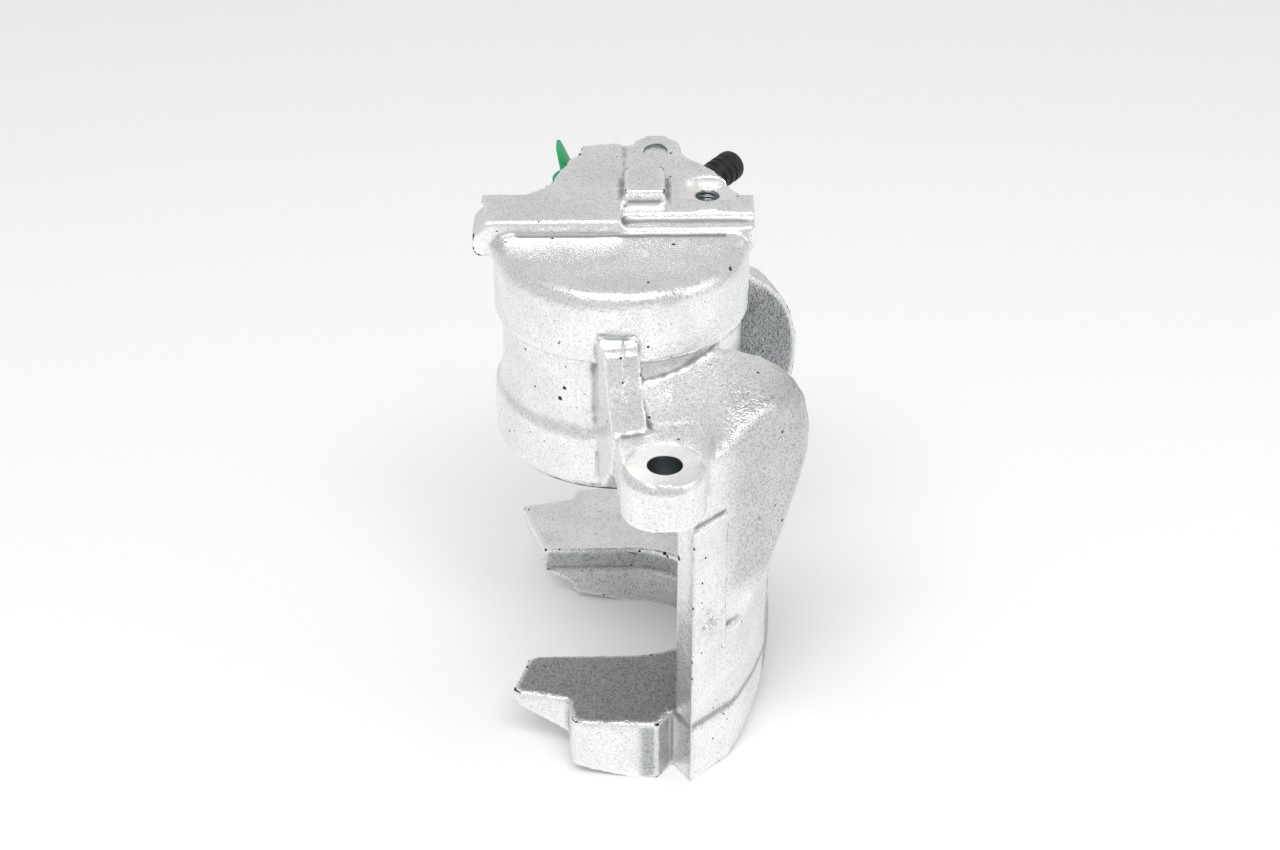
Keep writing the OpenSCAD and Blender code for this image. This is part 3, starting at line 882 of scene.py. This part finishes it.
def build_boot(context):
    """Dust boot: bead held by the housing, folds on neither body, and lip held by the piston."""
    settings = context.scene.caliper_seals
    skin = rubber("boot_rubber", settings.rubber_colour, 0.46, 0.06)
    bead = lathe("boot_bead", rounded([
        (32.2, -0.8, 0.2), (36.8, -0.8, 0.3), (36.8, -0.12, 0.2), (33.65, -0.12), (33.65, 3.6, 0.5),
        (32.2, 3.6, 0.4)]), segments=128)
    dress(bead, "housing", "boot_rubber", skin, replaces=["dust_boot"])
    lip = lathe("boot_lip", rounded([
        (26.75, 0.75, 0.3), (28.6, 0.75), (28.6, -0.5, 0.1), (29.2, -0.5, 0.2), (29.3, 1.4, 0.4),
        (28.6, 2.8, 0.4), (26.75, 2.85, 0.4)]), segments=128)
    dress(lip, "piston", "boot_rubber", skin)
    top, bottom = 3.3, -0.45
    wall = settings.wall / MM
    steps = 24 * settings.folds
    centre = []
    for k in range(steps + 1):
        t = k / steps
        swing = math.cos(math.tau * settings.folds * t)
        middle = 30.75 - 0.25 * t + (0.95 if t < 0.02 else 0)
        centre.append(Vector((middle + 1.15 * swing * (1 - 0.3 * t), top + (bottom - top) * t)))
    sides = []
    for k, here in enumerate(centre):
        along = centre[min(k + 1, steps)] - centre[max(k - 1, 0)]
        across = Vector((-along.y, along.x)).normalized() * wall * 0.5
        sides.append((here + across, here - across))
    outline = [tuple(a) for a, _ in sides] + [tuple(b) for _, b in reversed(sides)]
    folds = lathe("boot_folds", outline, segments=128)
    dress(folds, None, "boot_rubber", skin, sharp=180)
    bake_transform(folds)


# ---------------------------------------------------------------- bleed screw and plug

def build_bleed_screw(context):
    settings = context.scene.caliper_fittings
    core = SCREW_HOLE_R - 0.6
    screw = threaded("bleed_screw_body", core, SCREW_HOLE_R - 0.06, 1.0, 2.8, BOSS_END, BLEED)
    seat = [(0, 0.2), (1.2, 0.2), (core, 2.9), (core, 3.4), (0, 3.4)]
    combine(screw, lathe("seat", seat, BLEED), "UNION")
    neck = [(0, BOSS_END - 0.6), (core, BOSS_END - 0.6), (core, HEX_LOW + 0.4), (0, HEX_LOW + 0.4)]
    combine(screw, lathe("neck", neck, BLEED), "UNION")
    across = 4.03
    hexagon = [(0, HEX_LOW), (across, HEX_LOW), (across, NIPPLE_LOW), (0, NIPPLE_LOW)]
    prism = lathe("hexagon", hexagon, BLEED, 6)
    cone = rounded([
        (0, HEX_LOW - 1), (across - 0.5, HEX_LOW - 0.02), (across + 0.02, HEX_LOW + 0.5),
        (across + 0.02, NIPPLE_LOW - 0.5), (across - 0.5, NIPPLE_LOW + 0.02), (0, NIPPLE_LOW + 1)])
    combine(prism, lathe("hex_cone", cone, BLEED), "INTERSECT")
    combine(screw, prism, "UNION")
    end = NIPPLE_LOW + 9
    nipple = rounded([(0, NIPPLE_LOW - 0.5), (2.3, NIPPLE_LOW - 0.5), (2.3, end - 3, 0.3),
                      (2.8, end - 2.6, 0.3), (2.8, end - 2, 0.3), (2, end, 0.4), (0, end)])
    combine(screw, lathe("nipple", nipple, BLEED), "UNION")
    combine(screw, lathe("way", [(0, 5), (1, 5), (1, end + 1), (0, end + 1)], BLEED, 32))
    zinc = turned_metal("zinc_plate", settings.zinc, 0.26)
    dress(screw, "bleed_screw", "yellow_zinc_steel", zinc, replaces=["bleed_screw"])


def build_bleed_cap(context):
    """Rubber cap with three grooves; its skirt covers the screw's hexagon."""
    settings = context.scene.caliper_fittings
    r = settings.cap_radius / MM
    end = CAP_LOW + settings.cap_length / MM
    groove = 0.55
    corners = [(4.4, CAP_LOW, 0.2), (r - 0.15, CAP_LOW, 0.4)]
    for rise in (5.4, 8.2, 11.0):
        height = CAP_LOW + rise
        corners += [(r, height - 0.55, 0.35), (r - groove, height - 0.3, 0.25),
                    (r - groove, height + 0.3, 0.25), (r, height + 0.55, 0.35)]
    corners += [(r, end - 1.4, 1.2), (r - 1.3, end - 0.1, 1.4), (1.2, end - 0.02, 0.5), (0.9, end - 0.4),
                (0, end - 0.4), (0, end - 2.2), (2.95, end - 2.2, 0.3), (2.95, NIPPLE_LOW + 0.4, 0.2),
                (4.4, NIPPLE_LOW + 0.2, 0.3)]
    cap = lathe("cap_rubber_body", rounded(corners), BLEED, 64)
    black = rubber("cap_rubber", (0.008, 0.008, 0.009), 0.42, 0.05)
    dress(cap, "bleed_cap", "cap_rubber", black, replaces=["bleed_cap"])


def build_plug(context):
    """Transport plug: ribbed pin, flange and a tapered tab to pull it by."""
    settings = context.scene.caliper_fittings
    corners = [(0, -11), (3.5, -11, 0.5), (4.3, -9.2, 0.4)]
    for height in (-8, -5.5, -3):
        corners += [(4.44, height - 0.5, 0.2), (4.44, height, 0.2), (4.1, height + 0.4, 0.2),
                    (4.1, height + 1.2, 0.2)]
    corners += [(4.44, -0.6, 0.2), (4.44, 1.15, 0.1), (5.2, 1.15, 0.3), (5.2, 2.75, 0.5), (3.2, 2.75, 0.6),
                (2.6, 3.3, 0.4), (0, 3.3)]
    plug = lathe("port_plug_body", rounded(corners), PORT, 72)
    top = 2.6 + settings.tab_height / MM
    rings = [(2.6, -1.7, 1.7, 5.0), (5.5, -1.5, 1.45, 4.9), (9.5, -1.15, 0.95, 4.4),
             (top - 0.8, -0.9, 0.55, 3.6), (top, -0.75, 0.2, 2.9)]
    points = []
    for height, left, right, half in rings:
        ridge = (left + right) / 2
        points += [(left, -half + 0.5, height), (ridge, -half, height), (right, -half + 0.5, height),
                   (right, half - 0.5, height), (ridge, half, height), (left, half - 0.5, height)]
    faces = [tuple(range(6)), tuple(range(len(points) - 6, len(points)))]
    for j in range(len(rings) - 1):
        for k in range(6):
            a, b = j * 6 + k, j * 6 + (k + 1) % 6
            faces.append((a, b, b + 6, a + 6))
    tab = new_piece("tab", mesh_from("tab", points, faces, PORT))
    soften(tab, 0.25, 2, 25)
    combine(plug, tab, "UNION")
    green = moulded_plastic("plug_plastic", settings.plug_green)
    dress(plug, "port_plug", "green_plastic", green, replaces=["port_plug"])


# ---------------------------------------------------------------- studio

def softbox(name, place, target, size, power):
    """A rectangular area light aimed at a point."""
    data = bpy.data.lights.new(name, "AREA")
    data.shape = "RECTANGLE"
    data.size, data.size_y = size
    data.energy = power
    lamp = bpy.data.objects.new(name, data)
    lamp.location = place
    lamp.rotation_mode = "QUATERNION"
    lamp.rotation_quaternion = (Vector(target) - Vector(place)).to_track_quat("-Z", "Y")
    bpy.context.scene.collection.objects.link(lamp)


def build_studio(context):
    scene = context.scene
    settings = scene.caliper_studio
    low = CAD_BOX[0].z / MM
    half = 4000
    corners = [(-half, -half, low), (half, -half, low), (half, half, low), (-half, half, low)]
    floor = new_piece("studio_floor", mesh_from("studio_floor", corners, [(0, 1, 2, 3)]))
    paper = Finish("studio_paper", roughness=0.9, base_color=settings.floor_colour)
    floor.data.materials.append(paper.material)
    scene.world = bpy.data.worlds.new("studio_surround")
    scene.world.use_nodes = True
    backdrop = scene.world.node_tree.nodes["Background"]
    backdrop.inputs["Color"].default_value = (1, 1, 1, 1)
    backdrop.inputs["Strength"].default_value = settings.surround
    softbox("key_box", (-0.05, -0.66, 1.02), (0, 0, 0), (1.1, 0.3), settings.key_power)
    softbox("side_box", (1.0, -0.35, 0.5), (0.03, 0, 0), (0.5, 0.6), settings.side_power)
    camera = bpy.data.objects.new("camera", bpy.data.cameras.new("camera"))
    scene.collection.objects.link(camera)
    camera.location = settings.camera_place
    camera.rotation_euler = (math.pi / 2 - settings.camera_drop, 0, -settings.camera_turn)
    camera.data.lens = settings.lens
    camera.data.sensor_width = 36
    camera.data.clip_start = 0.01
    scene.camera = camera
    scene.view_settings.view_transform = "Standard"


# ---------------------------------------------------------------- add-on

class CastHousingOperator(bpy.types.Operator):
    """Build the cast and machined housing"""
    bl_idname = "caliper.cast_housing"
    bl_label = "Cast Housing"

    def execute(self, context):
        build_housing(context)
        return {"FINISHED"}


class PistonOperator(bpy.types.Operator):
    """Build the plated piston"""
    bl_idname = "caliper.piston"
    bl_label = "Piston"

    def execute(self, context):
        build_piston(context)
        return {"FINISHED"}


class SealsOperator(bpy.types.Operator):
    """Build the piston's seal, the boot's wire ring and the port's washer"""
    bl_idname = "caliper.seals"
    bl_label = "Seals and Ring"

    def execute(self, context):
        build_seals(context)
        return {"FINISHED"}


class DustBootOperator(bpy.types.Operator):
    """Build the folded dust boot"""
    bl_idname = "caliper.dust_boot"
    bl_label = "Dust Boot"

    def execute(self, context):
        build_boot(context)
        return {"FINISHED"}


class BleedScrewOperator(bpy.types.Operator):
    """Build the bleed screw"""
    bl_idname = "caliper.bleed_screw"
    bl_label = "Bleed Screw"

    def execute(self, context):
        build_bleed_screw(context)
        return {"FINISHED"}


class BleedCapOperator(bpy.types.Operator):
    """Build the bleed screw's rubber cap"""
    bl_idname = "caliper.bleed_cap"
    bl_label = "Bleed Cap"

    def execute(self, context):
        build_bleed_cap(context)
        return {"FINISHED"}


class PortPlugOperator(bpy.types.Operator):
    """Build the hose port's transport plug"""
    bl_idname = "caliper.port_plug"
    bl_label = "Port Plug"

    def execute(self, context):
        build_plug(context)
        return {"FINISHED"}


class StudioOperator(bpy.types.Operator):
    """Build the floor, the lights and the camera"""
    bl_idname = "caliper.studio"
    bl_label = "Studio"

    def execute(self, context):
        build_studio(context)
        return {"FINISHED"}


class CaliperPanel(bpy.types.Panel):
    """Sizes and colours of the caliper, and the steps that build it"""
    bl_idname = "VIEW3D_PT_caliper"
    bl_label = "Brake Caliper"
    bl_space_type = "VIEW_3D"
    bl_region_type = "UI"
    bl_category = "Caliper"

    def draw(self, context):
        layout = self.layout
        for group in SETTINGS:
            settings = getattr(context.scene, group)
            for name in settings.bl_rna.properties.keys():
                if name not in ("rna_type", "name"):
                    layout.prop(settings, name)
        for step in STEPS:
            layout.operator(step.bl_idname)


SETTINGS = {
    "caliper_casting": CastingSettings,
    "caliper_piston": PistonSettings,
    "caliper_seals": SealSettings,
    "caliper_fittings": FittingSettings,
    "caliper_studio": StudioSettings,
}
STEPS = (StudioOperator, CastHousingOperator, PistonOperator, SealsOperator, DustBootOperator,
         BleedScrewOperator, BleedCapOperator, PortPlugOperator)


def register():
    for cls in (*SETTINGS.values(), *STEPS, CaliperPanel):
        bpy.utils.register_class(cls)
    for name, cls in SETTINGS.items():
        setattr(bpy.types.Scene, name, PointerProperty(type=cls))


def unregister():
    for name in SETTINGS:
        delattr(bpy.types.Scene, name)
    for cls in reversed((*SETTINGS.values(), *STEPS, CaliperPanel)):
        bpy.utils.unregister_class(cls)


def main():
    register()
    bpy.ops.caliper.studio()
    bpy.ops.caliper.cast_housing()
    bpy.ops.caliper.piston()
    bpy.ops.caliper.seals()
    bpy.ops.caliper.dust_boot()
    bpy.ops.caliper.bleed_screw()
    bpy.ops.caliper.bleed_cap()
    bpy.ops.caliper.port_plug()


if __name__ == "__main__":
    main()
